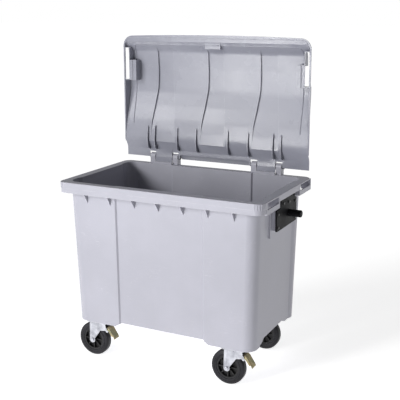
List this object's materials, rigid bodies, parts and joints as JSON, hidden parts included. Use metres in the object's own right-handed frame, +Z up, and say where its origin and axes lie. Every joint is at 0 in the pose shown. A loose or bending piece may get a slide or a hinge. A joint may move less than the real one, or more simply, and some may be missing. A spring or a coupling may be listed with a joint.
{
  "type": "wheelie bin",
  "caption": "Large moulded refuse container on swivel castors, with its hinged lid standing open, hand-holds in the rim and lifting trunnions on its sides.",
  "frame": {"origin": "on the floor, under the middle of the box round the container with its lid open", "axes": "+X to the container's right, +Y to its back, where the hinges are, +Z up"},
  "size_m": [1.36, 0.7702, 1.8546],
  "materials": {
    "tub_plastic": "moulded polyethylene, light grey, fine grain",
    "lid_plastic": "moulded polyethylene, mid grey, satin",
    "black_painted_steel": "black powder coat",
    "dark_screws": "blackened steel",
    "black_plastic": "black moulded plastic",
    "tyre_rubber": "black solid rubber",
    "hub_plastic": "black moulded plastic, ribbed",
    "yellow_zinc": "yellow passivated zinc plate",
    "zinc_plate": "bright zinc plate"
  },
  "bodies": {
    "tub": {"tub": "tub_plastic", "trunnion_plate_left": "black_painted_steel", "trunnion_pin_left": "black_painted_steel", "trunnion_screws_left": "dark_screws", "hinge_pin_left": "black_plastic", "hinge_cap_left": "black_plastic", "trunnion_plate_right": "black_painted_steel", "trunnion_pin_right": "black_painted_steel", "trunnion_screws_right": "dark_screws", "hinge_pin_right": "black_plastic", "hinge_cap_right": "black_plastic", "castor_plate_front_left": "zinc_plate", "castor_bolts_front_left": "zinc_plate", "swivel_race_front_left": "zinc_plate", "kingpin_front_left": "zinc_plate", "castor_plate_front_right": "zinc_plate", "castor_bolts_front_right": "zinc_plate", "swivel_race_front_right": "zinc_plate", "kingpin_front_right": "zinc_plate", "castor_plate_back_left": "zinc_plate", "castor_bolts_back_left": "zinc_plate", "swivel_race_back_left": "zinc_plate", "kingpin_back_left": "zinc_plate", "castor_plate_back_right": "zinc_plate", "castor_bolts_back_right": "zinc_plate", "swivel_race_back_right": "zinc_plate", "kingpin_back_right": "zinc_plate"},
    "lid": {"lid": "lid_plastic"},
    "swivel_front_left": {"fork_front_left": "zinc_plate", "axle_front_left": "zinc_plate", "axle_nut_front_left": "zinc_plate", "brake_pin_front_left": "zinc_plate"},
    "wheel_front_left": {"wheel_bush_front_left": "zinc_plate", "wheel_hub_front_left": "hub_plastic", "tyre_front_left": "tyre_rubber"},
    "brake_front_left": {"brake_pedal_front_left": "yellow_zinc", "brake_shoe_front_left": "zinc_plate"},
    "swivel_front_right": {"fork_front_right": "zinc_plate", "axle_front_right": "zinc_plate", "axle_nut_front_right": "zinc_plate", "brake_pin_front_right": "zinc_plate"},
    "wheel_front_right": {"wheel_bush_front_right": "zinc_plate", "wheel_hub_front_right": "hub_plastic", "tyre_front_right": "tyre_rubber"},
    "brake_front_right": {"brake_pedal_front_right": "yellow_zinc", "brake_shoe_front_right": "zinc_plate"},
    "swivel_back_left": {"fork_back_left": "zinc_plate", "axle_back_left": "zinc_plate", "axle_nut_back_left": "zinc_plate"},
    "wheel_back_left": {"wheel_bush_back_left": "zinc_plate", "wheel_hub_back_left": "hub_plastic", "tyre_back_left": "tyre_rubber"},
    "swivel_back_right": {"fork_back_right": "zinc_plate", "axle_back_right": "zinc_plate", "axle_nut_back_right": "zinc_plate"},
    "wheel_back_right": {"wheel_bush_back_right": "zinc_plate", "wheel_hub_back_right": "hub_plastic", "tyre_back_right": "tyre_rubber"}
  },
  "joints": [
    {"name": "lid_hinge", "type": "hinge", "parent": "tub", "child": "lid", "pos_m": [0, 0.34591, 1.096], "axis": [1, 0, 0], "range_deg": [0, 91]},
    {"name": "castor_front_left_swivel", "type": "hinge", "parent": "tub", "child": "swivel_front_left", "pos_m": [-0.439, -0.28409, 0.225], "axis": [0, 0, 1], "continuous": true},
    {"name": "castor_front_left_roll", "type": "hinge", "parent": "swivel_front_left", "child": "wheel_front_left", "pos_m": [-0.481, -0.28409, 0.1], "axis": [0, 1, 0], "continuous": true},
    {"name": "brake_front_left_pedal", "type": "hinge", "parent": "swivel_front_left", "child": "brake_front_left", "pos_m": [-0.387, -0.28409, 0.18], "axis": [0, 1, 0], "range_deg": [0, 12]},
    {"name": "castor_front_right_swivel", "type": "hinge", "parent": "tub", "child": "swivel_front_right", "pos_m": [0.439, -0.28409, 0.225], "axis": [0, 0, 1], "continuous": true},
    {"name": "castor_front_right_roll", "type": "hinge", "parent": "swivel_front_right", "child": "wheel_front_right", "pos_m": [0.397, -0.28409, 0.1], "axis": [0, 1, 0], "continuous": true},
    {"name": "brake_front_right_pedal", "type": "hinge", "parent": "swivel_front_right", "child": "brake_front_right", "pos_m": [0.491, -0.28409, 0.18], "axis": [0, 1, 0], "range_deg": [0, 12]},
    {"name": "castor_back_left_swivel", "type": "hinge", "parent": "tub", "child": "swivel_back_left", "pos_m": [-0.439, 0.21291, 0.225], "axis": [0, 0, 1], "continuous": true},
    {"name": "castor_back_left_roll", "type": "hinge", "parent": "swivel_back_left", "child": "wheel_back_left", "pos_m": [-0.481, 0.21291, 0.1], "axis": [0, 1, 0], "continuous": true},
    {"name": "castor_back_right_swivel", "type": "hinge", "parent": "tub", "child": "swivel_back_right", "pos_m": [0.439, 0.21291, 0.225], "axis": [0, 0, 1], "continuous": true},
    {"name": "castor_back_right_roll", "type": "hinge", "parent": "swivel_back_right", "child": "wheel_back_right", "pos_m": [0.397, 0.21291, 0.1], "axis": [0, 1, 0], "continuous": true}
  ]
}
